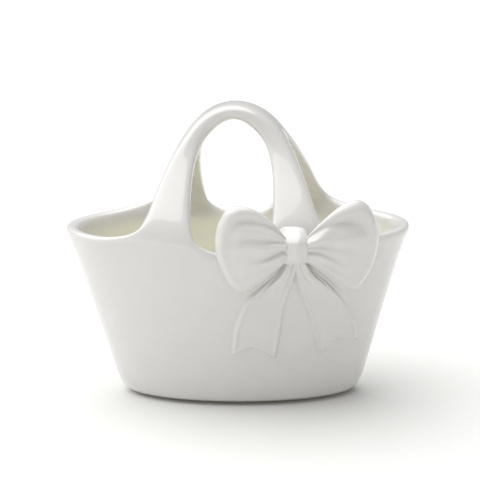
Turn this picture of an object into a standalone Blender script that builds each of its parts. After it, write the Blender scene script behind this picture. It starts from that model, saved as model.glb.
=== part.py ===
"""Ceramic flower girl basket: an oval tapered tub, two arches that join into one handle, and a bow.

The whole piece is slip-cast and glazed, so nothing moves. It is built as the pieces that are cast
or luted separately: tub, bare foot ring, front and back handle arches, and the five parts of the bow.
The front, with the bow, faces -Y. Lengths in the tables below are in millimetres, from the middle of
the tub; at the end the whole part is centred on the origin.
"""

import math

import bmesh
import bpy
from mathutils import Vector

MM = 0.001
GAP = 0.3

# Tub: half sizes of the outer oval at the table and at rim height.
RIM_HEIGHT = 97.5
BASE_HALF_LENGTH = 67.0
BASE_HALF_DEPTH = 30.5
RIM_HALF_LENGTH = 95.0
RIM_HALF_DEPTH = 53.0
WALL = 6.2
FLOOR_TOP = 8.0
FOOT_HEIGHT = 1.6
FOOT_WIDTH = 4.0
FOOT_INSET = 8.0
RING_STEPS = 64
BEAD = 2.0

# The handle's legs stand on the rim between these angles, measured from the tub's end.
LEG_OUTER_ANGLE = 57.0
LEG_HOLE_ANGLE = 77.5
DIP_ANGLE = 84.0
LEG_ANGLES = (LEG_OUTER_ANGLE, 64.0, 71.0, LEG_HOLE_ANGLE)
COLUMN_ANGLES = (0.0, 10.0, 20.0, 32.0, 44.0) + LEG_ANGLES + (84.0, 90.0)

# Height of the rim's top at each angle: level at the ends, up into the legs, down under the hand hole.
RIM_TOP = {0.0: 97.5, 32.0: 97.5, 44.0: 97.8, 57.0: 101.8, 64.0: 101.2, 71.0: 99.8, 77.5: 97.6, 84.0: 92.4, 90.0: 91.6}

# Arch stations from the leg's foot to the crown: the outer edge (x, z), the edge of the hand hole
# (x, z), and the front face's and the inner face's distance from the middle plane.
LEG_STATIONS = (
    ((46.8, 107.2), (21.0, 103.8), 47.4, 40.0),
    ((43.6, 114.0), (22.0, 111.5), 42.2, 33.6),
    ((41.0, 121.5), (22.0, 120.5), 35.8, 26.4),
    ((37.3, 130.0), (21.5, 130.0), 28.6, 18.2),
    ((33.3, 138.6), (19.7, 138.4), 22.2, 9.6),
)
JUNCTION = ((28.4, 147.4), (16.2, 145.2), 17.2, 0.0)
CROWN_STATIONS = (
    JUNCTION,
    ((21.6, 156.2), (11.0, 151.0), 14.0, 0.0),
    ((11.8, 163.0), (5.5, 155.4), 12.8, 0.0),
    ((0.0, 165.8), (0.0, 156.9), 12.4, 0.0),
)
# A section's twelve points: how far across from the outer edge to the hand hole's, and how deep from
# the front face to the inner face. They run round the front, the hole's edge, the inside, the outer edge.
LEG_SECTION = (
    ((0.07, 0.0), (0.35, -0.03), (0.65, -0.03), (0.93, 0.0))
    + ((1.0, 0.28), (1.0, 0.72))
    + ((0.93, 1.0), (0.65, 1.03), (0.35, 1.03), (0.07, 1.0))
    + ((0.0, 0.72), (0.0, 0.28))
)
CROWN_SECTION = (
    ((0.18, 0.03), (0.4, -0.02), (0.62, -0.02), (0.84, 0.03))
    + ((0.97, 0.3), (1.0, 0.68))
    + ((1.0, 1.0), (0.65, 1.0), (0.35, 1.0), (0.0, 1.0))
    + ((0.0, 0.68), (0.03, 0.3))
)
# The points of a crown section that show, from the middle of the top round the front to underneath.
CROWN_STRIP = (9, 10, 11, 0, 1, 2, 3, 4, 5, 6)
HANDLE_CUT_HEIGHT = 104.5

# Bow outlines on the front wall: distance along x from the tub's middle, and height.
BOW_WALL_TOP = 100.0
LOOP_EDGE_DEPTH = 4.2
LOOP_DEPTH = 10.6
LOOP_DEPTH_AT_KNOT = 7.6
LOOP_FULLEST = 0.8  # sets where between the knot and the far end the loop is fullest
LEFT_LOOP = {
    "knot": ((26.4, 86.0), (26.4, 94.8), (26.4, 104.6)),
    "top": ((26.4, 104.6), (20.8, 112.8), (13.2, 118.6), (5.6, 121.2), (0.6, 120.2), (-2.6, 117.4)),
    "far": ((4.4, 70.6), (0.2, 73.2), (-3.6, 80.2), (-6.8, 89.6), (-7.3, 99.4), (-6.2, 109.6), (-2.6, 117.4)),
    "bottom": ((26.4, 86.0), (21.6, 81.2), (13.8, 74.8), (8.8, 71.4), (4.4, 70.6)),
}
RIGHT_LOOP = {
    "knot": ((40.4, 85.8), (40.4, 94.6), (40.4, 103.6)),
    "top": ((40.4, 103.6), (49.0, 111.8), (56.4, 117.2), (62.8, 119.6), (67.0, 118.8), (70.2, 115.6)),
    "far": ((59.4, 67.6), (63.6, 68.4), (67.6, 72.4), (72.4, 80.6), (75.0, 91.8), (74.4, 104.4), (70.2, 115.6)),
    "bottom": ((40.4, 85.8), (45.4, 81.2), (51.0, 75.2), (55.6, 70.2), (59.4, 67.6)),
}
KNOT_CENTRE = (33.4, 95.0)
KNOT_SIZE = (12.4, 12.6, 20.0)
KNOT_BEVEL = 3.6
TAIL_THICKNESS = 1.8
NOTCH_POWER = 4  # the higher, the shorter the part of the tail that the notch bends
LEFT_TAIL = {
    "outer": ((28.4, 83.6), (23.4, 78.4), (14.8, 71.2), (8.0, 66.6), (4.6, 59.0), (0.0, 47.8), (-2.4, 31.0)),
    "inner": ((32.4, 83.6), (31.0, 77.5), (29.3, 71.0), (27.4, 60.7), (26.4, 53.0), (25.2, 41.6), (22.9, 28.4)),
    "notch": 6.4,
}
RIGHT_TAIL = {
    "outer": ((39.2, 83.6), (43.4, 78.6), (50.4, 71.2), (57.4, 63.8), (62.4, 54.0), (66.4, 44.0), (67.0, 33.4)),
    "inner": ((34.2, 83.6), (35.4, 77.5), (36.2, 70.0), (36.4, 61.0), (40.6, 48.0), (43.0, 37.7), (44.4, 28.8)),
    "notch": 5.0,
}


def clear_scene():
    for thing in list(bpy.data.objects):
        bpy.data.objects.remove(thing)


def ceramic(name, colour, roughness):
    """A fired clay finish; glaze is smooth, bare bisque is rough."""
    material = bpy.data.materials.new(name)
    material.use_nodes = True
    shader = material.node_tree.nodes["Principled BSDF"]
    shader.inputs["Base Color"].default_value = (*colour, 1.0)
    shader.inputs["Roughness"].default_value = roughness
    shader.inputs["Metallic"].default_value = 0.0
    material.diffuse_color = (*colour, 1.0)
    return material


def mesh_object(name, corners, faces, material=None):
    """An object from millimetre corners, each corner merged with any other at the same place."""
    mesh = bpy.data.meshes.new(name)
    mesh.from_pydata([(x * MM, y * MM, z * MM) for x, y, z in corners], [], faces)
    shape = bmesh.new()
    shape.from_mesh(mesh)
    bmesh.ops.remove_doubles(shape, verts=shape.verts, dist=0.01 * MM)
    bmesh.ops.recalc_face_normals(shape, faces=shape.faces)
    shape.to_mesh(mesh)
    shape.free()
    mesh.shade_smooth()
    if material:
        mesh.materials.append(material)
    thing = bpy.data.objects.new(name, mesh)
    bpy.context.scene.collection.objects.link(thing)
    return thing


def mix(a, b, share):
    return a + (b - a) * share


def between(table, key):
    """The value at key in a table of numbers, straight-line between its entries."""
    keys = sorted(table)
    for low, high in zip(keys, keys[1:]):
        if low <= key <= high:
            return mix(table[low], table[high], (key - low) / (high - low))
    raise ValueError(key)


def outer_oval(height):
    """Half length and half depth of the tub's outside at a height."""
    share = height / RIM_HEIGHT
    return mix(BASE_HALF_LENGTH, RIM_HALF_LENGTH, share), mix(BASE_HALF_DEPTH, RIM_HALF_DEPTH, share)


def tub_point(angle, inset, height):
    length, depth = outer_oval(height)
    turn = math.radians(angle)
    return ((length - inset) * math.cos(turn), -(depth - inset) * math.sin(turn), height)


# The rows of tub_column that the handle's legs grow from.
SHOULDER, TOP_OUTER, TOP_INNER, INNER = 11, 12, 13, 14


def tub_column(angle):
    """One column of the tub's skin at an angle, from the middle of the base, over the rim, to the floor."""
    top = between(RIM_TOP, angle)
    bead = BEAD * min(1.0, max(0.0, (LEG_OUTER_ANGLE - angle) / 25.0))
    dip = min(1.0, max(0.0, (angle - LEG_HOLE_ANGLE) / (DIP_ANGLE - LEG_HOLE_ANGLE)))
    base_depth = BASE_HALF_DEPTH
    rows = (
        (base_depth * 0.62, FOOT_HEIGHT),
        (FOOT_INSET, FOOT_HEIGHT),
        (2.8, FOOT_HEIGHT + 0.2),
        (0.2, 5.2),
        (0.0, 20.0),
        (0.0, 42.0),
        (0.0, 64.0),
        (-0.15 * bead, top - 17.0),
        (-0.4 * bead, top - 10.0),
        (-0.55 * bead, top - 6.8),
        (0.5 * dip - bead, top - 3.2 - 1.6 * dip),
        (1.2 * (1.0 + dip) - 0.8 * bead, top),
        (WALL - 1.2 - dip, top),
        (WALL, top - 3.0 - 1.4 * dip),
        (WALL, top - 9.5),
        (WALL, 64.0),
        (WALL, 42.0),
        (WALL + 0.3, 20.0),
        (WALL + 2.6, FLOOR_TOP + 2.0),
        (WALL + 7.0, FLOOR_TOP),
        (base_depth * 0.72, FLOOR_TOP),
    )
    column = [tub_point(angle, inset, height) for inset, height in rows]
    return [(0.0, 0.0, FOOT_HEIGHT)] + column + [(0.0, 0.0, FLOOR_TOP)]


def add_face(corners, faces, points):
    """Adds a face with its own corners; coinciding corners are merged later."""
    unique = [point for n, point in enumerate(points) if point not in points[:n]]
    faces.append(range(len(corners), len(corners) + len(unique)))
    corners.extend(unique)


def add_tub(corners, faces):
    for low, high in zip(COLUMN_ANGLES, COLUMN_ANGLES[1:]):
        left, right = tub_column(low), tub_column(high)
        under_leg = LEG_OUTER_ANGLE <= low < LEG_HOLE_ANGLE
        for row in range(len(left) - 1):
            if under_leg and SHOULDER <= row < INNER:
                continue
            add_face(corners, faces, [left[row], right[row], right[row + 1], left[row + 1]])


def leg_foot():
    """The twelve points of the rim that a leg grows from, in the order of a section."""
    columns = [tub_column(angle) for angle in LEG_ANGLES]
    front = [column[SHOULDER] for column in columns]
    hole = [columns[-1][TOP_OUTER], columns[-1][TOP_INNER]]
    back = [column[INNER] for column in reversed(columns)]
    outer = [columns[0][TOP_INNER], columns[0][TOP_OUTER]]
    return front + hole + back + outer


def plan_curve(x):
    """How far the front wall at x stands behind its foremost point."""
    return RIM_HALF_DEPTH * (1.0 - math.sqrt(1.0 - (x / RIM_HALF_LENGTH) ** 2))


def handle_section(station, places, curving=0.0):
    """The twelve points of a section; curving is how far it still follows the tub's oval."""
    (outer_x, outer_z), (hole_x, hole_z), front, back = station
    middle = plan_curve((outer_x + hole_x) / 2)
    points = []
    for across, deep in places:
        x = mix(outer_x, hole_x, across)
        z = mix(outer_z, hole_z, across)
        y = -mix(front, back, deep) + curving * (plan_curve(x) - middle)
        points.append((x, y, z))
    return points


def add_arch(corners, faces):
    """The quarter of the handle from the right front leg's foot to the crown's middle."""
    rings = [leg_foot()]
    for n, station in enumerate(LEG_STATIONS):
        rings.append(handle_section(station, LEG_SECTION, 0.85 - 0.2 * n))
    rings.append(handle_section(JUNCTION, CROWN_SECTION))
    for lower, upper in zip(rings, rings[1:]):
        for n in range(12):
            m = (n + 1) % 12
            add_face(corners, faces, [lower[n], lower[m], upper[m], upper[n]])
    crown = [handle_section(station, CROWN_SECTION) for station in CROWN_STATIONS]
    for lower, upper in zip(crown, crown[1:]):
        for n, m in zip(CROWN_STRIP, CROWN_STRIP[1:]):
            add_face(corners, faces, [lower[n], lower[m], upper[m], upper[n]])


def add_body(name, material):
    """The tub and handle as one skin, from the right front quarter mirrored both ways."""
    corners, faces = [], []
    add_tub(corners, faces)
    add_arch(corners, faces)
    body = mesh_object(name, corners, faces, material)
    mirror = body.modifiers.new("Mirror", "MIRROR")
    mirror.use_axis = (True, True, False)
    mirror.merge_threshold = 0.01 * MM
    rounding = body.modifiers.new("Rounding", "SUBSURF")
    rounding.levels = 1
    rounding.render_levels = 1
    return body


def box(name, low, high, material=None):
    corners = [(x, y, z) for x in (low[0], high[0]) for y in (low[1], high[1]) for z in (low[2], high[2])]
    faces = ((0, 1, 3, 2), (4, 6, 7, 5), (0, 4, 5, 1), (2, 3, 7, 6), (0, 2, 6, 4), (1, 5, 7, 3))
    return mesh_object(name, corners, faces, material)


def cutter(name, low, high):
    """A box that only cuts: it is left out of the build."""
    thing = box(name, low, high)
    thing.hide_render = True
    thing.display_type = "WIRE"
    return thing


def cut(thing, tool, operation):
    boolean = thing.modifiers.new(tool.name, "BOOLEAN")
    boolean.operation = operation
    boolean.solver = "EXACT"
    boolean.object = tool


def add_tub_and_handle(glaze):
    """Parts the one skin at the top of the leg stubs, and the handle at its middle plane."""
    far = 2 * RIM_HALF_LENGTH
    above = HANDLE_CUT_HEIGHT + GAP
    cut(add_body("tub", glaze), cutter("above_stubs", (-far, -far, HANDLE_CUT_HEIGHT), (far, far, far)), "DIFFERENCE")
    cut(add_body("front_handle", glaze), cutter("front_half", (-far, -far, above), (far, -GAP / 2, far)), "INTERSECT")
    cut(add_body("back_handle", glaze), cutter("back_half", (-far, GAP / 2, above), (far, far, far)), "INTERSECT")


def add_foot_ring(bisque):
    """The bare oval ring under the base that the basket stands on."""
    corners, faces = [], []
    section = ((0.0, 0.0), (FOOT_WIDTH, 0.0), (FOOT_WIDTH, FOOT_HEIGHT - GAP), (0.0, FOOT_HEIGHT - GAP))
    for n in range(RING_STEPS):
        turn = 2 * math.pi * n / RING_STEPS
        for inset, height in section:
            length = BASE_HALF_LENGTH - FOOT_INSET - inset
            depth = BASE_HALF_DEPTH - FOOT_INSET - inset
            corners.append((length * math.cos(turn), depth * math.sin(turn), height))
    for n in range(RING_STEPS):
        here, there = 4 * n, 4 * ((n + 1) % RING_STEPS)
        for k in range(4):
            j = (k + 1) % 4
            faces.append((here + k, here + j, there + j, there + k))
    mesh_object("foot_ring", corners, faces, bisque)


def wall_point(x, z, out):
    """A point in front of the wall: x along it, height z, and its distance out from it."""
    length, depth = outer_oval(min(z, BOW_WALL_TOP))
    y = -depth * math.sqrt(1.0 - (x / length) ** 2)
    slope_x, slope_y = x / length**2, y / depth**2
    steep = math.hypot(slope_x, slope_y)
    return (x + out * slope_x / steep, y + out * slope_y / steep, z)


def smooth_at(points, share):
    """The point at a share of the way along a curve through the points (Catmull-Rom)."""
    place = share * (len(points) - 1)
    n = min(int(place), len(points) - 2)
    t = place - n
    before, start, end, after = (points[min(max(k, 0), len(points) - 1)] for k in (n - 1, n, n + 1, n + 2))
    return tuple(
        0.5 * (2 * b + (c - a) * t + (2 * a - 5 * b + 4 * c - d) * t**2 + (3 * b - a - 3 * c + d) * t**3)
        for a, b, c, d in zip(before, start, end, after)
    )


def inside_outline(sides, u, v):
    """The point of a four-sided outline at u from the knot outwards and v from bottom to top (Coons patch)."""
    bottom, top = smooth_at(sides["bottom"], u), smooth_at(sides["top"], u)
    near, far = smooth_at(sides["knot"], v), smooth_at(sides["far"], v)
    low_near, top_near, low_far, top_far = sides["knot"][0], sides["knot"][-1], sides["far"][0], sides["far"][-1]
    return tuple(
        mix(bottom[k], top[k], v)
        + mix(near[k], far[k], u)
        - mix(mix(low_near[k], top_near[k], v), mix(low_far[k], top_far[k], v), u)
        for k in (0, 1)
    )


def dome(share):
    """Rises from 0 at the ends of 0 to 1, steeply, to 1 in the middle."""
    return math.sqrt(max(0.0, 1.0 - abs(2 * share - 1) ** 3.5))


def add_loop(name, sides, glaze):
    """A puffed bow loop: a front skin and a flatter back skin that meet along its outline."""
    across, along = 14, 12
    corners, faces = [], []

    def skin(front):
        grid = []
        for i in range(along + 1):
            u = math.sin(math.pi / 2 * i / along)
            row = []
            for j in range(across + 1):
                v = 0.5 - 0.5 * math.cos(math.pi * j / across)
                x, z = inside_outline(sides, u, v)
                swell = dome(v) * dome(0.5 + u / 2)
                puffed = mix(LOOP_DEPTH_AT_KNOT, LOOP_DEPTH, math.sin(math.pi * LOOP_FULLEST * u))
                face = puffed if front else GAP
                row.append(wall_point(x, z, mix(LOOP_EDGE_DEPTH, face, swell)))
            grid.append(row)
        for i in range(along):
            for j in range(across):
                add_face(corners, faces, [grid[i][j], grid[i + 1][j], grid[i + 1][j + 1], grid[i][j + 1]])
        return grid[0]

    front_end, back_end = skin(True), skin(False)
    for j in range(across):
        add_face(corners, faces, [front_end[j], front_end[j + 1], back_end[j + 1], back_end[j]])
    mesh_object(name, corners, faces, glaze)


def add_knot(glaze):
    """The pinched middle of the bow: a bevelled block that faces the way the wall does there."""
    width, depth, height = KNOT_SIZE
    half = (width / 2, depth / 2, height / 2)
    knot = box("bow_knot", (-half[0], -half[1], -half[2]), half, glaze)
    x, z = KNOT_CENTRE
    centre = wall_point(x, z, depth / 2 + GAP)
    ahead = wall_point(x, z, depth)
    knot.rotation_euler.z = math.atan2(ahead[0] - centre[0], centre[1] - ahead[1])
    knot.location = (centre[0] * MM, centre[1] * MM, z * MM)
    bevel = knot.modifiers.new("Bevel", "BEVEL")
    bevel.width = KNOT_BEVEL * MM
    bevel.segments = 4


def add_tail(name, shape, glaze):
    """A ribbon tail in low relief on the wall, with a swallow-tail end."""
    across, along = 6, 14
    corners, faces = [], []

    def skin(out):
        grid = []
        for i in range(along + 1):
            u = i / along
            outer, inner = smooth_at(shape["outer"], u), smooth_at(shape["inner"], u)
            row = []
            for j in range(across + 1):
                v = j / across
                notch = shape["notch"] * u**NOTCH_POWER * (1.0 - abs(2 * v - 1))
                row.append(wall_point(mix(outer[0], inner[0], v), mix(outer[1], inner[1], v) + notch, out))
            grid.append(row)
        for i in range(along):
            for j in range(across):
                add_face(corners, faces, [grid[i][j], grid[i + 1][j], grid[i + 1][j + 1], grid[i][j + 1]])
        return grid

    front, back = skin(GAP + TAIL_THICKNESS), skin(GAP)
    for rim in (lambda g: g[0], lambda g: g[-1], lambda g: [r[0] for r in g], lambda g: [r[-1] for r in g]):
        edge, under = rim(front), rim(back)
        for n in range(len(edge) - 1):
            add_face(corners, faces, [edge[n], edge[n + 1], under[n + 1], under[n]])
    mesh_object(name, corners, faces, glaze)


def centre_on_origin():
    """Moves everything back so that the whole part, with the bow in front, is centred on the origin."""
    bpy.context.view_layer.update()
    graph = bpy.context.evaluated_depsgraph_get()
    depths = []
    for thing in bpy.context.scene.objects:
        if thing.hide_render:
            continue
        shape = thing.evaluated_get(graph)
        depths += [(shape.matrix_world @ Vector(corner)).y for corner in shape.bound_box]
    for thing in bpy.context.scene.objects:
        thing.location.y -= (min(depths) + max(depths)) / 2


def main():
    clear_scene()
    glaze = ceramic("white_glaze", (0.86, 0.85, 0.83), 0.08)
    bisque = ceramic("bare_bisque", (0.78, 0.75, 0.70), 0.85)
    add_tub_and_handle(glaze)
    add_foot_ring(bisque)
    add_loop("bow_left_loop", LEFT_LOOP, glaze)
    add_loop("bow_right_loop", RIGHT_LOOP, glaze)
    add_knot(glaze)
    add_tail("bow_left_tail", LEFT_TAIL, glaze)
    add_tail("bow_right_tail", RIGHT_TAIL, glaze)
    centre_on_origin()


main()
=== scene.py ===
# %% [markdown]
# # A white ceramic flower girl basket
# The real basket is slip-cast: liquid clay is poured into a plaster mould, the thin shell is fired, and a
# glossy white glaze is melted over it. So it has no joints and no seams, only soft folds, and its look
# rests on two things: smooth flowing shapes, and a glaze that reflects a soft studio.
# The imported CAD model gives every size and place. This script dresses it.

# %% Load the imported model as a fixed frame
import math

import bmesh
import bpy
import numpy as np
from mathutils import Matrix, Vector
from mathutils.bvhtree import BVHTree


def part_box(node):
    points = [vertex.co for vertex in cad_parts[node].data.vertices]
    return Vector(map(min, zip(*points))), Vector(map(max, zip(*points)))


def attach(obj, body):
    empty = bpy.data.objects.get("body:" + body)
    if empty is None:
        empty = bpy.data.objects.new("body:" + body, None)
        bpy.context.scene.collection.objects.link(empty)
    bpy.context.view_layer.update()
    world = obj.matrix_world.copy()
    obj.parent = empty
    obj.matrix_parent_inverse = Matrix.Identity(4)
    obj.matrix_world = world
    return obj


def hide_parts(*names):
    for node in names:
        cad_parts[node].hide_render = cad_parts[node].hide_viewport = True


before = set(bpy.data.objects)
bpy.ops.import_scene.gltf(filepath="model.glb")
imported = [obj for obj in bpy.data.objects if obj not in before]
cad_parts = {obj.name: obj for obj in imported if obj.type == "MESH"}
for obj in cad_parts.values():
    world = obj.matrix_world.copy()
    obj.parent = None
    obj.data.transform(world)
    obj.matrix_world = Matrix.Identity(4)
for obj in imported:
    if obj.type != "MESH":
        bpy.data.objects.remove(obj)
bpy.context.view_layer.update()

MM = 0.001
tub_low, tub_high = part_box("tub")
tub_middle = (tub_low + tub_high) / 2
print("the tub's middle stands this far behind the origin, in mm:", round(tub_middle.y / MM, 2))

# %% [markdown]
# ## Colours and nodes
# A hex colour is what a colour picker shows, in sRGB. Shaders work in linear light, so one function turns
# it. Another adds a node with its settings and its links, so that a material reads like a recipe.

# %% Helpers for materials
def linear(hex_colour):
    """An sRGB hex colour as the linear RGBA that shaders use."""
    channels = [int(hex_colour[n:n + 2], 16) / 255 for n in (1, 3, 5)]
    return [c / 12.92 if c <= 0.04045 else ((c + 0.055) / 1.055) ** 2.4 for c in channels] + [1.0]


def add_node(tree, kind, settings=None, inputs=None):
    """A node of a kind: settings are its properties, inputs are values or the sockets that feed it."""
    node = tree.nodes.new(kind)
    for name, value in (settings or {}).items():
        setattr(node, name, value)
    for name, value in (inputs or {}).items():
        socket = node.inputs[name]
        if isinstance(value, bpy.types.NodeSocket):
            tree.links.new(value, socket)
        else:
            socket.default_value = value
    return node


def new_material(name):
    """An empty material with its Principled shader, and the tree to build in."""
    material = bpy.data.materials.new(name)
    material.use_nodes = True
    return material, material.node_tree, material.node_tree.nodes["Principled BSDF"]


print("white in linear light:", [round(c, 3) for c in linear("#f3f1ec")[:3]])

# %% [markdown]
# ## White glaze over slip-cast earthenware
# The glaze is clear glass with white pigment, melted at about 1050 degrees. It is smooth, so it mirrors the
# lights sharply, but it flows a little before it sets: it runs thin on edges, where the body shows slightly
# warmer, and pools in folds, where it is thicker and a touch cooler; there the colour is also darkened as
# painted shade. It also keeps a faint waviness of about a centimetre that makes reflections wander. Inside
# the tub the colour is lighter and more ivory: partly a warmer glaze tone, partly painted light filling the
# bowl.
# Each of these could be painted in a texture. Here the waviness, the folds and the inside come from object
# coordinates and from the shape itself, so they sit at the right scale on every piece; the thin edges are not
# coloured.

# %% Glaze material
GLAZE_WHITES = ("#dfddda", "#dbd9d6")
# Inside the tub the colour is lighter and more ivory: partly a warmer glaze tone, partly painted light
# filling the bowl.
GLAZE_INSIDE_IVORY_AND_GLOW = "#f5f3e2"
# In folds the glaze is painted darker: painted shade, with the cooler tint of glaze that pools there.
GLAZE_POOL_AND_FOLD_SHADE = "#d2d3cf"
MOST_POOL_AND_FOLD_SHADE = 0.55       # the share of the darker fold colour, painted shade and pooled glaze, in the deepest fold
FLOW_SIZE = 11 * MM      # how far apart the waves in the glaze are
PEEL_SIZE = 1.6 * MM     # the fine orange-peel of a fired glaze
WAVE_HEIGHT = 0.10 * MM
PEEL_HEIGHT = 0.006 * MM


def make_glaze():
    material, tree, shader = new_material("white_gloss_glaze_on_slip_cast_earthenware")
    place = add_node(tree, "ShaderNodeTexCoord").outputs["Object"]
    flow = add_node(tree, "ShaderNodeTexNoise", {}, {
        "Vector": place, "Scale": 1 / FLOW_SIZE, "Detail": 2.0, "Roughness": 0.4})
    peel = add_node(tree, "ShaderNodeTexNoise", {}, {
        "Vector": place, "Scale": 1 / PEEL_SIZE, "Detail": 1.0})
    # The drift of the white itself, too faint to see as spots but enough to keep it from looking like paint.
    white = add_node(tree, "ShaderNodeMix", {"data_type": "RGBA"}, {
        "Factor": flow.outputs["Fac"], 6: linear(GLAZE_WHITES[0]), 7: linear(GLAZE_WHITES[1])})
    # Inside the tub, marked by an attribute on the mesh, the colour is lighter and more ivory: partly a
    # warmer glaze tone, partly painted light filling the bowl.
    inside = add_node(tree, "ShaderNodeAttribute", {"attribute_name": "inside"})
    inside_ivory_and_glow = add_node(tree, "ShaderNodeMix", {"data_type": "RGBA"}, {
        "Factor": inside.outputs["Fac"], 6: white.outputs[2], 7: linear(GLAZE_INSIDE_IVORY_AND_GLOW)})
    # Pointiness is above one half on edges and below it in folds, where the colour is darkened as painted
    # shade, with the cooler tint of pooled glaze.
    shape = add_node(tree, "ShaderNodeNewGeometry").outputs["Pointiness"]
    fold = add_node(tree, "ShaderNodeMapRange", {"clamp": True}, {
        "Value": shape, "From Min": 0.5, "From Max": 0.44, "To Min": 0.0, "To Max": MOST_POOL_AND_FOLD_SHADE})
    pool_and_fold_shade = add_node(tree, "ShaderNodeMix", {"data_type": "RGBA"}, {
        "Factor": fold.outputs["Result"], 6: inside_ivory_and_glow.outputs[2], 7: linear(GLAZE_POOL_AND_FOLD_SHADE)})
    tree.links.new(pool_and_fold_shade.outputs[2], shader.inputs["Base Color"])
    waves = add_node(tree, "ShaderNodeBump", {}, {
        "Strength": 0.35, "Distance": WAVE_HEIGHT, "Height": flow.outputs["Fac"]})
    bumps = add_node(tree, "ShaderNodeBump", {}, {
        "Strength": 0.35, "Distance": PEEL_HEIGHT, "Height": peel.outputs["Fac"],
        "Normal": waves.outputs["Normal"]})
    tree.links.new(bumps.outputs["Normal"], shader.inputs["Normal"])
    tree.links.new(waves.outputs["Normal"], shader.inputs["Coat Normal"])
    gloss = add_node(tree, "ShaderNodeMapRange", {}, {
        "Value": flow.outputs["Fac"], "To Min": 0.20, "To Max": 0.28})
    tree.links.new(gloss.outputs["Result"], shader.inputs["Roughness"])
    shader.inputs["IOR"].default_value = 1.5
    shader.inputs["Coat Weight"].default_value = 0.8
    shader.inputs["Coat Roughness"].default_value = 0.05
    shader.inputs["Coat IOR"].default_value = 1.52
    return material


glaze = make_glaze()
print("glaze nodes:", len(glaze.node_tree.nodes))

# %% [markdown]
# ## Bare bisque
# Glaze would weld the foot to the kiln shelf, so it is wiped off the ring that the basket stands on. What
# shows there is fired clay: matt, slightly warm, with the fine sandy grain of the body.

# %% Bisque material
BISQUE_CLAYS = ("#e2d9c8", "#cfc3ae")
BISQUE_SPECK = "#a89a82"
GRAIN_SIZE = 0.5 * MM
GRAIN_HEIGHT = 0.05 * MM


def make_bisque():
    material, tree, shader = new_material("bare_fired_earthenware_bisque")
    place = add_node(tree, "ShaderNodeTexCoord").outputs["Object"]
    grain = add_node(tree, "ShaderNodeTexNoise", {}, {
        "Vector": place, "Scale": 1 / GRAIN_SIZE, "Detail": 3.0})
    stain = add_node(tree, "ShaderNodeTexNoise", {}, {
        "Vector": place, "Scale": 1 / FLOW_SIZE, "Detail": 2.0})
    clay = add_node(tree, "ShaderNodeMix", {"data_type": "RGBA"}, {
        "Factor": stain.outputs["Fac"], 6: linear(BISQUE_CLAYS[0]), 7: linear(BISQUE_CLAYS[1])})
    speck = add_node(tree, "ShaderNodeMapRange", {"clamp": True}, {
        "Value": grain.outputs["Fac"], "From Min": 0.62, "From Max": 0.75, "To Min": 0.0, "To Max": 0.5})
    colour = add_node(tree, "ShaderNodeMix", {"data_type": "RGBA"}, {
        "Factor": speck.outputs["Result"], 6: clay.outputs[2], 7: linear(BISQUE_SPECK)})
    tree.links.new(colour.outputs[2], shader.inputs["Base Color"])
    bump = add_node(tree, "ShaderNodeBump", {}, {
        "Strength": 0.6, "Distance": GRAIN_HEIGHT, "Height": grain.outputs["Fac"]})
    tree.links.new(bump.outputs["Normal"], shader.inputs["Normal"])
    shader.inputs["Roughness"].default_value = 0.88
    shader.inputs["IOR"].default_value = 1.45
    return material


bisque = make_bisque()
print("bisque nodes:", len(bisque.node_tree.nodes))

# %% [markdown]
# ## From a cage to a skin
# Ceramic has no hard corners. A coarse cage of four-sided faces, smoothed by a Subdivision Surface, gives
# the same kind of flowing skin as wet clay. Each cage below is a list of millimetre corners and faces,
# measured from the tub's middle. Corners at one place are merged, so faces can be added one by one.

# %% Mesh helpers
WELD = 0.002 * MM  # corners nearer than this are one corner


def mix(a, b, share):
    return a + (b - a) * share


def smooth_step(low, high, value):
    """0 below low, 1 above high, and an S-curve between."""
    share = min(1.0, max(0.0, (value - low) / (high - low)))
    return share * share * (3 - 2 * share)


def add_face(corners, faces, points):
    """Adds a face with its own corners, leaving out a corner that is there twice."""
    unique = [point for n, point in enumerate(points) if point not in points[:n]]
    faces.append(range(len(corners), len(corners) + len(unique)))
    corners.extend(unique)


def weld_and_face_out(mesh):
    """Merges a mesh's doubled corners and turns its faces outwards."""
    shape = bmesh.new()
    shape.from_mesh(mesh)
    bmesh.ops.remove_doubles(shape, verts=shape.verts, dist=WELD)
    bmesh.ops.recalc_face_normals(shape, faces=shape.faces)
    shape.to_mesh(mesh)
    shape.free()


def make_mesh(name, corners, faces, material):
    """A closed mesh object in the row frame, its doubles merged and its faces turned outwards."""
    mesh = bpy.data.meshes.new(name)
    mesh.from_pydata([(x * MM, y * MM + tub_middle.y, z * MM) for x, y, z in corners], [], faces)
    weld_and_face_out(mesh)
    mesh.shade_smooth()
    mesh.materials.append(material)
    thing = bpy.data.objects.new(name, mesh)
    bpy.context.scene.collection.objects.link(thing)
    return thing


def apply_modifiers(thing):
    """Turns the object's evaluated shape into its own plain mesh."""
    graph = bpy.context.evaluated_depsgraph_get()
    plain = bpy.data.meshes.new_from_object(thing.evaluated_get(graph), depsgraph=graph)
    thing.modifiers.clear()
    thing.data = plain
    thing.data.shade_smooth()
    return thing


def report_piece(thing):
    """Prints a piece's size and whether its mesh is closed."""
    shape = bmesh.new()
    shape.from_mesh(thing.data)
    open_edges = sum(not edge.is_manifold for edge in shape.edges)
    volume = shape.calc_volume(signed=True) / MM**3
    shape.free()
    size = [round(side / MM, 1) for side in thing.dimensions]
    print(f"{thing.name}: {size} mm, {len(thing.data.polygons)} faces, "
          f"{open_edges} open edges, {volume / 1000:.1f} cm3")

# %% [markdown]
# ## The tub
# The tub is an oval that widens as it rises, with a thick rounded lip. It could be a turned profile scaled
# to an oval, but the handle has to grow out of the same skin. So it is built column by column, each one a
# profile from the middle of the base, over the rim, to the middle of the floor. The columns stand at chosen
# angles, so that some of them are exactly the edges of the handle's legs. Only one quarter is built: the
# tub and handle mirror left to right and front to back.

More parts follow.
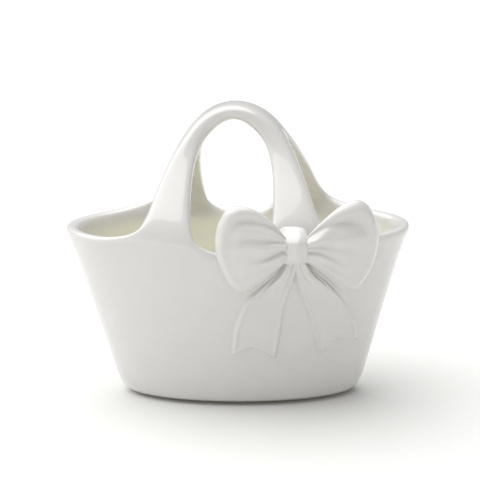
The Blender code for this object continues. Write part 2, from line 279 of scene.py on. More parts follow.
# %% Tub
RIM_HEIGHT = 97.5
BASE_HALF_LENGTH, BASE_HALF_DEPTH = 67.0, 30.5
RIM_HALF_LENGTH, RIM_HALF_DEPTH = 95.0, 53.0
WALL = 6.2
FLOOR_TOP = 8.0
FOOT_HEIGHT = 1.6
FOOT_INSET, FOOT_WIDTH = 8.0, 4.0
BEAD = 2.0
BEAD_FADE_ANGLE = 25.0
LEG_OUTER_ANGLE, LEG_HOLE_ANGLE, DIP_ANGLE = 57.0, 77.5, 84.0
LEG_ANGLES = (LEG_OUTER_ANGLE, 64.0, 71.0, LEG_HOLE_ANGLE)
COLUMN_ANGLES = (0.0, 10.0, 20.0, 32.0, 44.0) + LEG_ANGLES + (84.0, 90.0)
RIM_TOP = {  # the lip's height at an angle
    0.0: 97.5, 32.0: 97.5, 44.0: 97.8, 57.0: 101.8, 64.0: 101.2,
    71.0: 99.8, 77.5: 97.6, 84.0: 92.4, 90.0: 91.6,
}
# The rows of a column that the legs grow from.
SHOULDER, TOP_OUTER, TOP_INNER, INNER = 11, 12, 13, 14


def between(table, key):
    """The value at key in a table of numbers, straight-line between its entries."""
    keys = sorted(table)
    for low, high in zip(keys, keys[1:]):
        if low <= key <= high:
            return mix(table[low], table[high], (key - low) / (high - low))
    raise ValueError(key)


def outer_oval(height):
    """Half length and half depth of the tub's outside at a height."""
    share = height / RIM_HEIGHT
    return mix(BASE_HALF_LENGTH, RIM_HALF_LENGTH, share), mix(BASE_HALF_DEPTH, RIM_HALF_DEPTH, share)


def tub_point(angle, inset, height):
    length, depth = outer_oval(height)
    turn = math.radians(angle)
    return ((length - inset) * math.cos(turn), -(depth - inset) * math.sin(turn), height)


def tub_column(angle):
    """One column of the skin: distance in from the outer oval, and height, from base to floor."""
    top = between(RIM_TOP, angle)
    # The lip's bead fades out towards the legs, and the lip is rounder in the dip between them.
    bead = BEAD * min(1.0, max(0.0, (LEG_OUTER_ANGLE - angle) / BEAD_FADE_ANGLE))
    dip = min(1.0, max(0.0, (angle - LEG_HOLE_ANGLE) / (DIP_ANGLE - LEG_HOLE_ANGLE)))
    rows = (
        (BASE_HALF_DEPTH * 0.62, FOOT_HEIGHT),
        (FOOT_INSET, FOOT_HEIGHT),
        (2.8, FOOT_HEIGHT + 0.2),
        (0.2, 5.2),
        (0.0, 20.0),
        (0.0, 42.0),
        (0.0, 64.0),
        (-0.15 * bead, top - 17.0),
        (-0.4 * bead, top - 10.0),
        (-0.5 * bead, top - 7.0),
        (0.5 * dip - bead, top - 3.2 - 1.6 * dip),
        (1.2 * (1.0 + dip) - 0.8 * bead, top),
        (WALL - 1.2 - dip, top),
        (WALL, top - 3.0 - 1.4 * dip),
        (WALL, top - 9.5),
        (WALL, 64.0),
        (WALL, 42.0),
        (WALL + 0.3, 20.0),
        (WALL + 2.6, FLOOR_TOP + 2.0),
        (WALL + 7.0, FLOOR_TOP),
        (BASE_HALF_DEPTH * 0.72, FLOOR_TOP),
    )
    column = [tub_point(angle, inset, height) for inset, height in rows]
    return [(0.0, 0.0, FOOT_HEIGHT)] + column + [(0.0, 0.0, FLOOR_TOP)]


def add_tub(corners, faces):
    """The quarter of the tub, with the patches of rim under the legs left open."""
    for low, high in zip(COLUMN_ANGLES, COLUMN_ANGLES[1:]):
        left, right = tub_column(low), tub_column(high)
        under_leg = LEG_OUTER_ANGLE <= low < LEG_HOLE_ANGLE
        for row in range(len(left) - 1):
            if under_leg and SHOULDER <= row < INNER:
                continue
            add_face(corners, faces, [left[row], right[row], right[row + 1], left[row + 1]])


print("columns in a quarter:", len(COLUMN_ANGLES), "rows:", len(tub_column(0.0)))

# %% [markdown]
# ## The handle
# Four legs rise from the rim, lean inwards, and join at the top in one strap. Sweeping a profile along a
# curve would leave the joins to be patched. Here each leg is a stack of twelve-point sections that starts
# from the open patch in the rim, and the last two rings of front and back share their inner points, so the
# fork closes by itself and the Subdivision Surface rounds it like clay smoothed with a wet finger.

# %% Handle
# Each station: outer edge (x, z), hand-hole edge (x, z), then how far the front and inner faces stand from
# the middle plane.
LEG_STATIONS = (
    ((46.8, 107.2), (21.0, 103.8), 47.4, 40.0),
    ((43.6, 114.0), (22.0, 111.5), 42.2, 33.6),
    ((41.0, 121.5), (22.0, 120.5), 35.8, 26.4),
    ((37.3, 130.0), (21.5, 130.0), 28.6, 18.2),
    ((33.3, 138.6), (19.7, 138.4), 22.2, 9.6),
)
JUNCTION = ((28.4, 147.4), (16.2, 145.2), 17.2, 0.0)
CROWN_STATIONS = (
    JUNCTION,
    ((21.6, 156.2), (11.0, 151.0), 14.0, 0.0),
    ((11.8, 163.0), (5.5, 155.4), 12.8, 0.0),
    ((0.0, 165.8), (0.0, 156.9), 12.4, 0.0),
)
LEG_SECTION = (
    ((0.07, 0.0), (0.35, -0.03), (0.65, -0.03), (0.93, 0.0))
    + ((1.0, 0.28), (1.0, 0.72))
    + ((0.93, 1.0), (0.65, 1.03), (0.35, 1.03), (0.07, 1.0))
    + ((0.0, 0.72), (0.0, 0.28))
)
CROWN_SECTION = (
    ((0.18, 0.03), (0.4, -0.02), (0.62, -0.02), (0.84, 0.03))
    + ((0.97, 0.3), (1.0, 0.68))
    + ((1.0, 1.0), (0.65, 1.0), (0.35, 1.0), (0.0, 1.0))
    + ((0.0, 0.68), (0.03, 0.3))
)
CROWN_STRIP = (9, 10, 11, 0, 1, 2, 3, 4, 5, 6)


def leg_foot():
    """The twelve points of the rim that a leg grows from, in the order of a section."""
    columns = [tub_column(angle) for angle in LEG_ANGLES]
    front = [column[SHOULDER] for column in columns]
    hole = [columns[-1][TOP_OUTER], columns[-1][TOP_INNER]]
    back = [column[INNER] for column in reversed(columns)]
    outer = [columns[0][TOP_INNER], columns[0][TOP_OUTER]]
    return front + hole + back + outer


def plan_curve(x):
    """How far the front wall at x stands behind its foremost point."""
    return RIM_HALF_DEPTH * (1.0 - math.sqrt(1.0 - (x / RIM_HALF_LENGTH) ** 2))


def handle_section(station, places, curving=0.0):
    """The twelve points of a section; curving is how far it still follows the tub's oval."""
    (outer_x, outer_z), (hole_x, hole_z), front, back = station
    middle = plan_curve((outer_x + hole_x) / 2)
    points = []
    for across, deep in places:
        x = mix(outer_x, hole_x, across)
        z = mix(outer_z, hole_z, across)
        y = -mix(front, back, deep) + curving * (plan_curve(x) - middle)
        points.append((x, y, z))
    return points


def add_arch(corners, faces):
    """The quarter of the handle from the right front leg's foot to the crown's middle."""
    rings = [leg_foot()]
    for n, station in enumerate(LEG_STATIONS):
        rings.append(handle_section(station, LEG_SECTION, 0.85 - 0.2 * n))
    rings.append(handle_section(JUNCTION, CROWN_SECTION))
    for lower, upper in zip(rings, rings[1:]):
        for n in range(12):
            m = (n + 1) % 12
            add_face(corners, faces, [lower[n], lower[m], upper[m], upper[n]])
    crown = [handle_section(station, CROWN_SECTION) for station in CROWN_STATIONS]
    for lower, upper in zip(crown, crown[1:]):
        for n, m in zip(CROWN_STRIP, CROWN_STRIP[1:]):
            add_face(corners, faces, [lower[n], lower[m], upper[m], upper[n]])


def mirrored(corners, faces):
    """The quarter with its three reflections."""
    all_corners, all_faces = [], []
    for side in (1, -1):
        for end in (1, -1):
            start = len(all_corners)
            all_corners += [(side * x, end * y, z) for x, y, z in corners]
            all_faces += [[start + n for n in face] for face in faces]
    return all_corners, all_faces


INSIDE_REACH = (0.94, 1.0)  # of the way out to the middle of the wall
INSIDE_TOP = (86.0, 95.0)
INSIDE_BOTTOM = (4.0, 5.0)
BODY_LEVELS = 3


def mark_inside(thing):
    """Writes the attribute that the glaze reads to paint the inside lighter and more ivory: 1 inside the tub,
    0 outside, soft over the lip.
    """
    marks = thing.data.attributes.new("inside", "FLOAT", "POINT")
    values = []
    for vertex in thing.data.vertices:
        x, y, z = (vertex.co - Vector((0, tub_middle.y, 0))) / MM
        length, depth = outer_oval(z)
        reach = math.hypot(x / (length - WALL / 2), y / (depth - WALL / 2))
        within = 1.0 - smooth_step(*INSIDE_REACH, reach)
        values.append(within * (1.0 - smooth_step(*INSIDE_TOP, z)) * smooth_step(*INSIDE_BOTTOM, z))
    marks.data.foreach_set("value", values)


def make_body():
    corners, faces = [], []
    add_tub(corners, faces)
    add_arch(corners, faces)
    body = make_mesh("basket_body", *mirrored(corners, faces), glaze)
    rounding = body.modifiers.new("Rounding", "SUBSURF")
    rounding.levels = rounding.render_levels = BODY_LEVELS
    apply_modifiers(body)
    mark_inside(body)
    return body


body = make_body()
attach(body, "root")
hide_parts("tub", "front_handle", "back_handle")
report_piece(body)

# %% [markdown]
# ## Where the bow sits
# The bow is pressed in a small mould of its own and joined to the wet wall, so it follows the oval wall in
# plan and stands upright above the rim. One function gives a point in front of the wall, and a smooth curve
# through a few outline points gives the ribbon's edges.

# %% Helpers for the bow
BOW_WALL_TOP = 100.0  # above this the bow stands upright
FOLD_FADE = 0.4       # how far along it a fold starts to fade


def wall_point(x, z, out):
    """A point in front of the wall: x along it, height z, and its distance out from it."""
    length, depth = outer_oval(min(z, BOW_WALL_TOP))
    y = -depth * math.sqrt(1.0 - (x / length) ** 2)
    slope_x, slope_y = x / length**2, y / depth**2
    steep = math.hypot(slope_x, slope_y)
    return (x + out * slope_x / steep, y + out * slope_y / steep, z)


def smooth_at(points, share):
    """The point at a share of the way along a curve through the points (Catmull-Rom)."""
    place = share * (len(points) - 1)
    n = min(int(place), len(points) - 2)
    t = place - n
    around = [points[min(max(k, 0), len(points) - 1)] for k in (n - 1, n, n + 1, n + 2)]
    return tuple(
        0.5 * (2 * b + (c - a) * t + (2 * a - 5 * b + 4 * c - d) * t**2 + (3 * b - a - 3 * c + d) * t**3)
        for a, b, c, d in zip(*around)
    )


def smooth_line(points, steps=60):
    """Many points along the smooth curve through a few."""
    return [smooth_at(points, n / steps) for n in range(steps + 1)]


def distance_to(line, points):
    """The distance of each (x, z) point from a line of (x, z) points."""
    start, end = np.array(line[:-1]), np.array(line[1:])
    step = end - start
    away = np.array(points)[:, None, :] - start
    share = (away * step).sum(axis=2) / np.maximum((step**2).sum(axis=1), 1e-9)
    nearest = away - np.clip(share, 0.0, 1.0)[:, :, None] * step
    return np.sqrt((nearest**2).sum(axis=2)).min(axis=1)


def rounded(distance, radius):
    """A rounded edge: 0 at the outline, rising like a quarter circle to 1 at its radius."""
    share = min(1.0, distance / radius)
    return math.sqrt(1.0 - (1.0 - share) ** 2)


def line_of(value, centre, width):
    """A soft line: 1 on its centre, falling away within its width."""
    return math.exp(-(((value - centre) / width) ** 2))


def fold_height(folds, u, v):
    """The folds' height at u, v. A fold is its v at five stations of u, width, rise, start and end in u."""
    height = 0.0
    for track, width, rise, start, end in folds:
        (centre,) = smooth_at([(place,) for place in track], u)
        along = smooth_step(start - 0.12, start + 0.08, u) * (1.0 - smooth_step(FOLD_FADE * end, end, u))
        height += rise * along * line_of(v, centre, width)
    return height


def closed_skin(name, front, back):
    """A closed piece from two grids of points that meet, or are joined, along their outlines."""
    corners, faces = [], []
    for grid in (front, back):
        for low, high in zip(grid, grid[1:]):
            for n in range(len(low) - 1):
                add_face(corners, faces, [low[n], high[n], high[n + 1], low[n + 1]])

    def edges(grid):
        return grid[0], grid[-1], [row[0] for row in grid], [row[-1] for row in grid]

    for edge, under in zip(edges(front), edges(back)):
        for n in range(len(edge) - 1):
            if edge[n:n + 2] != under[n:n + 2]:
                add_face(corners, faces, [edge[n], edge[n + 1], under[n + 1], under[n]])
    return make_mesh(name, corners, faces, glaze)


body_tree = BVHTree.FromPolygons(
    [v.co for v in body.data.vertices], [list(p.vertices) for p in body.data.polygons])


def skin_out(x, z, reach=20.0):
    """How far the smoothed body really stands from the oval wall at x, z: found by casting a ray at it."""
    start = Vector(wall_point(x, z, reach)) * MM
    towards = Vector(wall_point(x, z, 0.0)) * MM - start
    start.y += tub_middle.y
    _, _, _, distance = body_tree.ray_cast(start, towards.normalized())
    return reach - distance / MM


print("body behind the oval at a tail, in mm:", round(skin_out(10.0, 50.0), 2))
print("wall at the knot, in mm:", [round(v, 1) for v in wall_point(33.4, 95.0, 0.0)])

# %% [markdown]
# ## The bow's loops
# A loop is a puffed pillow of clay with a rolled rim and folds that fan out from the knot. A cloth
# simulation would wrinkle like cotton, and clay doesn't. So each loop is a four-sided patch between its
# outline curves (a Coons patch), raised by its distance from the outline, so that the rim is as round
# everywhere. The folds are ridges and grooves listed one by one: their track across the patch, how wide
# and how high they are, and where they start and end.

# %% Loops
LEFT_LOOP = {
    "knot": ((28.4, 87.4), (28.4, 95.2), (28.4, 102.8)),
    "top": ((28.4, 102.8), (22.2, 110.8), (14.0, 117.4), (6.0, 120.0), (0.7, 119.2), (-2.6, 116.4)),
    "far": ((4.4, 70.6), (0.2, 73.2), (-3.6, 80.2), (-6.8, 89.6), (-7.3, 99.4), (-6.2, 108.8), (-2.6, 116.4)),
    "bottom": ((28.4, 87.4), (23.0, 82.4), (13.8, 74.8), (8.8, 71.4), (4.4, 70.6)),
}
RIGHT_LOOP = {
    "knot": ((38.4, 87.0), (38.4, 94.6), (38.4, 101.6)),
    "top": ((38.4, 101.6), (48.0, 111.0), (56.0, 117.2), (62.8, 119.6), (67.0, 118.8), (70.2, 115.6)),
    "far": ((59.4, 67.6), (63.6, 68.4), (67.6, 72.4), (72.4, 80.6), (75.0, 91.8), (74.4, 104.4),
            (70.2, 115.6)),
    "bottom": ((38.4, 87.0), (44.0, 82.6), (51.0, 75.2), (55.6, 70.2), (59.4, 67.6)),
}
LEFT_FOLDS = (
    ((0.92, 0.875, 0.85, 0.79, 0.74), 0.080, -3.8, -1.0, 0.80),
    ((0.86, 0.76, 0.75, 0.71, 0.66), 0.060, 0.6, -1.0, 0.80),
    ((0.76, 0.64, 0.645, 0.61, 0.58), 0.065, -1.7, 0.0, 0.90),
    ((0.68, 0.545, 0.55, 0.545, 0.54), 0.040, 1.0, -1.0, 0.80),
    ((0.52, 0.40, 0.41, 0.43, 0.44), 0.045, -1.4, -1.0, 0.56),
    ((0.40, 0.315, 0.34, 0.36, 0.38), 0.045, 0.8, -1.0, 0.60),
    ((0.28, 0.23, 0.26, 0.30, 0.33), 0.045, -0.6, -1.0, 0.50),
)
RIGHT_FOLDS = (
    ((0.93, 0.86, 0.80, 0.77, 0.75), 0.070, -2.8, -1.0, 0.84),
    ((0.80, 0.65, 0.66, 0.66, 0.66), 0.055, 0.9, -1.0, 0.80),
    ((0.64, 0.53, 0.54, 0.55, 0.55), 0.050, -0.8, -1.0, 0.70),
    ((0.50, 0.41, 0.37, 0.35, 0.35), 0.038, -0.9, -1.0, 0.68),
    ((0.40, 0.33, 0.29, 0.28, 0.28), 0.038, 0.6, -1.0, 0.70),
    ((0.27, 0.23, 0.23, 0.23, 0.23), 0.038, -0.5, -1.0, 0.66),
    ((0.18, 0.165, 0.18, 0.185, 0.19), 0.038, 0.4, 0.1, 0.75),
)
LOOP_HEIGHT = 9.4
LOOP_HEIGHT_AT_KNOT = 8.6
LOOP_RIM_RADIUS = 6.2
LOOP_DOME_RADIUS = 17.0
LOOP_DOME_SHARE = 0.3        # the rest of the rise is the rim's
LOOP_FREE = (86.0, 102.0)    # between these heights the loop's edge leaves the wall, to stand free
LOOP_EDGE = (0.7, 4.4)       # how far out the edge is below and above them
LOOP_BACK = (-0.9, 0.6)      # and the middle of the back
LOOP_STEPS = 72


def inside_outline(sides, u, v):
    """The point of a four-sided outline at u from the knot outwards and v from bottom to top."""
    bottom, top = smooth_at(sides["bottom"], u), smooth_at(sides["top"], u)
    near, far = smooth_at(sides["knot"], v), smooth_at(sides["far"], v)
    low_near, top_near = sides["knot"][0], sides["knot"][-1]
    low_far, top_far = sides["far"][0], sides["far"][-1]
    return tuple(
        mix(bottom[k], top[k], v)
        + mix(near[k], far[k], u)
        - mix(mix(low_near[k], top_near[k], v), mix(low_far[k], top_far[k], v), u)
        for k in (0, 1)
    )


def make_loop(name, sides, folds):
    steps = range(LOOP_STEPS + 1)
    places = [(math.sin(math.pi / 2 * i / LOOP_STEPS), 0.5 - 0.5 * math.cos(math.pi * j / LOOP_STEPS))
              for i in steps for j in steps]
    points = [inside_outline(sides, u, v) for u, v in places]
    # The rim runs along the bottom, round the far side and back over the top.
    rim = smooth_line(sides["bottom"]) + smooth_line(sides["far"])[1:] + smooth_line(sides["top"])[-2::-1]
    front, back = [], []
    for (u, v), (x, z), inset in zip(places, points, distance_to(rim, points)):
        above = smooth_step(*LOOP_FREE, z)
        edge = mix(*LOOP_EDGE, above)
        swell = mix(rounded(inset, LOOP_RIM_RADIUS), rounded(inset, LOOP_DOME_RADIUS), LOOP_DOME_SHARE)
        face = mix(LOOP_HEIGHT_AT_KNOT, LOOP_HEIGHT, smooth_step(-0.1, 0.5, u)) + fold_height(folds, u, v)
        # The rim is rolled: a low bead along it, then a shallow groove.
        face += 0.4 * line_of(inset, 3.6, 1.8) - 0.35 * line_of(inset, 8.0, 2.5)
        front.append(wall_point(x, z, mix(edge, face, swell)))
        back.append(wall_point(x, z, mix(edge, mix(*LOOP_BACK, above), swell)))
    side = LOOP_STEPS + 1
    rows = [slice(n * side, (n + 1) * side) for n in steps]
    return closed_skin(name, [front[row] for row in rows], [back[row] for row in rows])


for name, sides, folds, node in (
    ("bow_loop_left", LEFT_LOOP, LEFT_FOLDS, "bow_left_loop"),
    ("bow_loop_right", RIGHT_LOOP, RIGHT_FOLDS, "bow_right_loop"),
):
    loop = make_loop(name, sides, folds)
    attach(loop, "root")
    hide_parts(node)
    report_piece(loop)

# %% [markdown]
# ## The knot
# The knot is a strip of clay wrapped over the pinched middle. Its front is nearly flat, with a slight waist
# and soft upright folds, and its top rolls back to the foot of the leg. A bevelled box would look like a
# buckle, so it is a grid raised by one profile up its height and another across its width.

# %% Knot
KNOT_X = 33.4
# Height, distance out from the wall and half width, from the knot's lower edge up into the leg.
KNOT_ROWS = (
    (87.0, 3.0, 7.6),
    (87.8, 7.2, 8.2),
    (89.9, 9.6, 8.4),
    (93.2, 10.2, 8.3),
    (96.8, 10.2, 8.2),
    (99.6, 9.6, 8.2),
    (102.0, 7.6, 8.2),
    (104.0, 3.6, 8.0),
    (105.6, -1.4, 7.8),
    (107.2, -6.0, 7.6),
    (109.0, -9.6, 7.4),
)
# Where across the width each fold is, its width and its rise.
KNOT_FOLDS = (
    (0.20, 0.07, 0.25),
    (0.34, 0.06, -0.3),
    (0.52, 0.07, 0.25),
    (0.68, 0.05, -0.3),
    (0.82, 0.06, 0.2),
)
KNOT_SQUARENESS = 2.2  # 2 is a half round across the width, and more is squarer
KNOT_STEPS = 48


def make_knot():
    front, back = [], []
    for i in range(KNOT_STEPS + 1):
        share = i / KNOT_STEPS
        z, out, half = smooth_at(KNOT_ROWS, share)
        # The back sinks into the leaning leg.
        behind = mix(-1.0, -10.5, smooth_step(96.0, 109.0, z))
        front_row, back_row = [], []
        for j in range(KNOT_STEPS + 1):
            across = -math.cos(math.pi * j / KNOT_STEPS)
            v = 0.5 + across / 2
            x = KNOT_X + half * across
            folds = sum(rise * line_of(v, centre, width) for centre, width, rise in KNOT_FOLDS)
            face = out + folds * smooth_step(4.0, 9.0, out)
            round_side = math.sqrt(1.0 - abs(across) ** KNOT_SQUARENESS)
            front_row.append(wall_point(x, z, mix(behind, face, round_side)))
            back_row.append(wall_point(x, z, behind))
        front.append(front_row)
        back.append(back_row)
    return closed_skin("bow_knot_wrap", front, back)


knot = make_knot()
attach(knot, "root")
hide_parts("bow_knot")
report_piece(knot)

# %% [markdown]
# ## The ribbon's tails
# The tails are in low relief: the mould leaves them about a millimetre and a half proud, with a fine raised
# edge, and thicker under the knot where the ribbon is gathered. They are made as the loops are, from their
# two long edges, with a notch cut into the end.

# %% Tails
LEFT_TAIL = {
    "outer": ((28.0, 90.0), (23.4, 81.4), (14.4, 73.6), (7.0, 67.4), (3.6, 59.4), (-0.6, 48.2),
              (-2.8, 31.2)),
    "inner": ((36.4, 90.0), (35.0, 80.6), (32.4, 73.0), (29.8, 65.0), (27.8, 57.0), (26.0, 44.6),
              (22.9, 28.4)),
    "notch": 6.4,
}
RIGHT_TAIL = {
    "outer": ((39.4, 90.0), (43.8, 81.4), (51.6, 73.4), (58.4, 64.6), (63.2, 54.6), (66.6, 45.0),
              (67.2, 35.2)),
    "inner": ((30.2, 90.0), (31.2, 80.6), (33.2, 73.8), (35.6, 65.6), (38.8, 55.0), (41.6, 43.0),
              (44.0, 29.2)),
    "notch": 5.0,
}
LEFT_TAIL_FOLDS = (
    ((0.05, 0.17, 0.31, 0.36, 0.40), 0.055, -1.8, -1.0, 0.58),
    ((0.35, 0.56, 0.77, 0.80, 0.80), 0.060, 0.8, -1.0, 0.66),
    ((0.52, 0.70, 0.85, 0.88, 0.90), 0.045, -0.7, -1.0, 0.50),
    ((0.72, 0.84, 0.93, 0.95, 0.95), 0.045, 0.6, -1.0, 0.52),
)
RIGHT_TAIL_FOLDS = (
    ((0.06, 0.14, 0.19, 0.22, 0.24), 0.050, -1.8, -1.0, 0.54),
    ((0.30, 0.33, 0.36, 0.38, 0.40), 0.045, 0.6, -1.0, 0.48),
    ((0.52, 0.55, 0.60, 0.62, 0.64), 0.050, -0.7, -1.0, 0.44),
    ((0.75, 0.78, 0.82, 0.84, 0.86), 0.050, 0.6, -1.0, 0.50),
)
TAIL_HEIGHT = 1.15
TAIL_GATHER = 3.6
TAIL_GATHER_END = 0.55  # how far down the tail the gathering reaches
TAIL_EDGE_WIDTH = 2.8
TAIL_RIDGE = (2.2, 1.4, 0.7)  # the raised line's distance in from the edge, its width and its rise
NOTCH_POWER = 4
TAIL_STEPS = 84


def make_tail(name, shape, folds):
    steps = range(TAIL_STEPS + 1)
    places, points = [], []
    for i in steps:
        u = math.sin(math.pi / 2 * i / TAIL_STEPS)
        outer, inner = smooth_at(shape["outer"], u), smooth_at(shape["inner"], u)
        for j in steps:
            v = 0.5 - 0.5 * math.cos(math.pi * j / TAIL_STEPS)
            notch = shape["notch"] * u**NOTCH_POWER * (1.0 - abs(2 * v - 1))
            places.append((u, v))
            points.append((mix(outer[0], inner[0], v), mix(outer[1], inner[1], v) + notch))
    edge = smooth_line(shape["outer"]) + points[-len(steps):] + smooth_line(shape["inner"])[::-1]
    front, back = [], []
    ridge_in, ridge_width, ridge_rise = TAIL_RIDGE
    for (u, v), (x, z), inset in zip(places, points, distance_to(edge, points)):
        gather = TAIL_GATHER * (1.0 - smooth_step(0.0, TAIL_GATHER_END, u))
        height = TAIL_HEIGHT + gather + fold_height(folds, u, v)
        height += ridge_rise * line_of(inset, ridge_in, ridge_width) * smooth_step(0.2, TAIL_GATHER_END, u)
        skin = skin_out(x, z)
        front.append(wall_point(x, z, skin + mix(-0.2, height, smooth_step(0.0, TAIL_EDGE_WIDTH, inset))))
        back.append(wall_point(x, z, skin - 1.0))
    side = TAIL_STEPS + 1
    rows = [slice(n * side, (n + 1) * side) for n in steps]
    return closed_skin(name, [front[row] for row in rows], [back[row] for row in rows])


for name, shape, folds, node in (
    ("ribbon_tail_left", LEFT_TAIL, LEFT_TAIL_FOLDS, "bow_left_tail"),
    ("ribbon_tail_right", RIGHT_TAIL, RIGHT_TAIL_FOLDS, "bow_right_tail"),
):
    ribbon = make_tail(name, shape, folds)
    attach(ribbon, "root")
    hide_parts(node)
    report_piece(ribbon)

# %% [markdown]
# ## The foot ring
# A small profile that follows a path is a job for Geometry Nodes: the path is an oval, the profile is a
# rectangle with filleted corners, and Curve to Mesh joins them. The tree has named inputs, so the ring can
# be sized without opening it. The result is turned into a plain mesh, because the modifier isn't exported.

# %% Foot ring
RING_WIDTH = FOOT_WIDTH
RING_HEIGHT = 1.95
RING_ROUNDING = 0.55
RING_STEPS = 160


def ring_tree():
    """A node tree that sweeps a filleted rectangle round an oval."""
    tree = bpy.data.node_groups.new("Foot ring", "GeometryNodeTree")
    tree.is_modifier = True
    tree.interface.new_socket("Geometry", in_out="OUTPUT", socket_type="NodeSocketGeometry")
    for name in ("Half Length", "Half Depth", "Ring Width", "Ring Height", "Rounding"):
        tree.interface.new_socket(name, in_out="INPUT", socket_type="NodeSocketFloat")
    tree.interface.new_socket("Finish", in_out="INPUT", socket_type="NodeSocketMaterial")
    given = tree.nodes.new("NodeGroupInput").outputs
    circle = add_node(tree, "GeometryNodeCurvePrimitiveCircle", {}, {
        "Resolution": RING_STEPS, "Radius": 1.0})
    size = add_node(tree, "ShaderNodeCombineXYZ", {}, {
        "X": given["Half Length"], "Y": given["Half Depth"], "Z": 1.0})
    oval = add_node(tree, "GeometryNodeTransform", {}, {
        "Geometry": circle.outputs["Curve"], "Scale": size.outputs[0]})
    profile = add_node(tree, "GeometryNodeCurvePrimitiveQuadrilateral", {}, {
        "Width": given["Ring Width"], "Height": given["Ring Height"]})
    fillet = add_node(tree, "GeometryNodeFilletCurve", {"mode": "POLY"}, {
        "Curve": profile.outputs["Curve"], "Count": 4, "Radius": given["Rounding"]})
    sweep = add_node(tree, "GeometryNodeCurveToMesh", {}, {
        "Curve": oval.outputs["Geometry"], "Profile Curve": fillet.outputs["Curve"]})
    real = add_node(tree, "GeometryNodeRealizeInstances", {}, {"Geometry": sweep.outputs["Mesh"]})
    finish = add_node(tree, "GeometryNodeSetMaterial", {}, {
        "Geometry": real.outputs["Geometry"], "Material": given["Finish"]})
    add_node(tree, "NodeGroupOutput", {}, {"Geometry": finish.outputs["Geometry"]})
    return tree


def make_foot_ring():
    ring = bpy.data.objects.new("bare_foot_ring", bpy.data.meshes.new("bare_foot_ring"))
    bpy.context.scene.collection.objects.link(ring)
    modifier = ring.modifiers.new("Foot ring", "NODES")
    tree = ring_tree()
    modifier.node_group = tree
    values = {
        "Half Length": (BASE_HALF_LENGTH - FOOT_INSET - RING_WIDTH / 2) * MM,
        "Half Depth": (BASE_HALF_DEPTH - FOOT_INSET - RING_WIDTH / 2) * MM,
        "Ring Width": RING_WIDTH * MM,
        "Ring Height": RING_HEIGHT * MM,
        "Rounding": RING_ROUNDING * MM,
        "Finish": bisque,
    }
    for item in tree.interface.items_tree:
        if item.name in values:
            modifier[item.identifier] = values[item.name]
    apply_modifiers(ring)
    ring.data.transform(Matrix.Translation((0.0, tub_middle.y, RING_HEIGHT / 2 * MM)))
    weld_and_face_out(ring.data)
    return ring


foot_ring = make_foot_ring()
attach(foot_ring, "root")
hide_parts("foot_ring")
report_piece(foot_ring)

# %% [markdown]
# ## Floor, light and camera
# A white glaze shows nothing but its surroundings, so the studio is the picture: a pale floor, a wide soft
# light overhead that whitens every upper edge, and a softbox on the left that leaves the right side a little
# darker. The standard view transform keeps white as white.

# %% Studio
FLOOR_COLOUR = "#e8e8e6"
FLOOR_HALF = 4.0
ROOM_STRENGTH = 0.44
OVERHEAD_STRENGTH, OVERHEAD_ANGLE = 2.95, math.radians(84)
LEFT_STRENGTH, LEFT_SIZE = 1.2, (0.8, 0.7)


def make_floor():
    mesh = bpy.data.meshes.new("studio_floor")
    mesh.from_pydata([(-FLOOR_HALF, -FLOOR_HALF, 0), (FLOOR_HALF, -FLOOR_HALF, 0),
                      (FLOOR_HALF, FLOOR_HALF, 0), (-FLOOR_HALF, FLOOR_HALF, 0)], [], [(0, 1, 2, 3)])
    floor = bpy.data.objects.new("studio_floor", mesh)
    bpy.context.scene.collection.objects.link(floor)
    material, _, shader = new_material("pale_matt_studio_paper")
    shader.inputs["Base Color"].default_value = linear(FLOOR_COLOUR)
    shader.inputs["Roughness"].default_value = 0.9
    shader.inputs["Specular IOR Level"].default_value = 0.0
    mesh.materials.append(material)
    return floor


def add_light(name, kind, strength, place, aim, **settings):
    """A light at a place in metres that points at another."""
    data = bpy.data.lights.new(name, kind)
    data.energy = strength
    for key, value in settings.items():
        setattr(data, key, value)
    light = bpy.data.objects.new(name, data)
    light.location = place
    light.rotation_euler = (Vector(aim) - Vector(place)).to_track_quat("-Z", "Y").to_euler()
    bpy.context.scene.collection.objects.link(light)
    return light


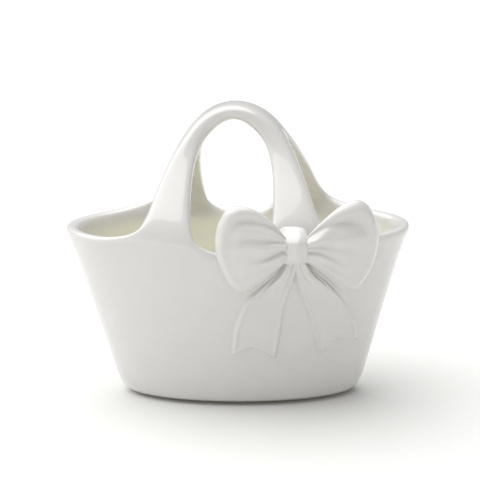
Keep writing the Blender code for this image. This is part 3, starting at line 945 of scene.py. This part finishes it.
make_floor()
world = bpy.data.worlds.new("studio_room")
world.use_nodes = True
world.node_tree.nodes["Background"].inputs["Color"].default_value = linear("#ffffff")
world.node_tree.nodes["Background"].inputs["Strength"].default_value = ROOM_STRENGTH
bpy.context.scene.world = world
middle = (0.0, 0.0, 0.08)
add_light("overhead_softbox", "SUN", OVERHEAD_STRENGTH, (-0.45, 0.20, 1.5), middle, angle=OVERHEAD_ANGLE)
add_light("left_softbox", "AREA", LEFT_STRENGTH, (-0.9, -0.1, 0.45), middle,
          shape="RECTANGLE", size=LEFT_SIZE[0], size_y=LEFT_SIZE[1])
bpy.context.scene.view_settings.view_transform = "Standard"
print("lights:", len(bpy.data.lights))

# %% [markdown]
# ## Camera
# A long lens far away keeps the oval rim flat and the walls straight. It stands a little to the right of
# the middle and looks slightly down, so that the inside shows, and it is rolled by about a degree.

# %% Camera
CAMERA_AZIMUTH, CAMERA_ELEVATION, CAMERA_ROLL = 4.0, 14.2, -1.22
CAMERA_DISTANCE = 0.880
CAMERA_TARGET = Vector((0.0020, 0.0, 0.08905))
LENS = 119.5


def make_camera():
    azimuth, elevation, roll = map(math.radians, (CAMERA_AZIMUTH, CAMERA_ELEVATION, CAMERA_ROLL))
    flat = math.cos(elevation)
    back = Vector((math.sin(azimuth) * flat, -math.cos(azimuth) * flat, math.sin(elevation)))
    level = Vector((math.cos(azimuth), math.sin(azimuth), 0.0))
    upright = back.cross(level)
    right = level * math.cos(roll) + upright * math.sin(roll)
    up = upright * math.cos(roll) - level * math.sin(roll)
    data = bpy.data.cameras.new("camera")
    data.lens = LENS
    data.clip_start, data.clip_end = 0.01, 50.0
    camera = bpy.data.objects.new("camera", data)
    camera.matrix_world = Matrix.Translation(CAMERA_TARGET + back * CAMERA_DISTANCE) @ Matrix(
        (right, up, back)).transposed().to_4x4()
    bpy.context.scene.collection.objects.link(camera)
    bpy.context.scene.camera = camera
    return camera


print("camera stands at, in m:", [round(v, 3) for v in make_camera().matrix_world.translation])
